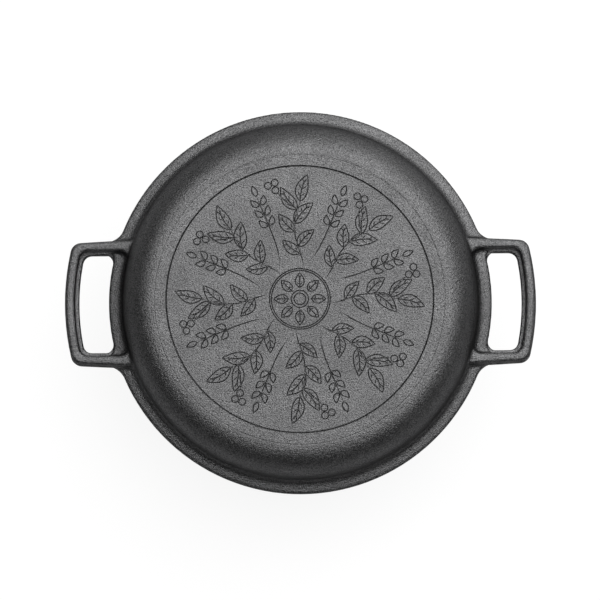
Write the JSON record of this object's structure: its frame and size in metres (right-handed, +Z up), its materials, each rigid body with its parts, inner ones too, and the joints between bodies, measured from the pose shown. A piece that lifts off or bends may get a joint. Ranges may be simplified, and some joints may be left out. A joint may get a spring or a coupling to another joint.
{
  "type": "cast iron pot with skillet lid",
  "caption": "Round cast iron pot closed by a shallow skillet turned upside down as its lid, with loop handles on both.",
  "frame": {"origin": "centre of the pot's foot ring, on the plane that the pot stands on", "axes": "+Z up, +X along the handles, +Y across them"},
  "size_m": [0.3464, 0.2812, 0.147],
  "materials": {
    "pot_iron": "seasoned raw casting, matte black",
    "lid_iron": "seasoned raw casting, matte black"
  },
  "bodies": {
    "pot": {"pot": "pot_iron"},
    "lid": {"skillet_lid": "lid_iron"}
  },
  "joints": [
    {"name": "lid_lift", "type": "slide", "parent": "pot", "child": "lid", "axis": [0, 0, 1], "range_m": [0, 0.12]}
  ]
}
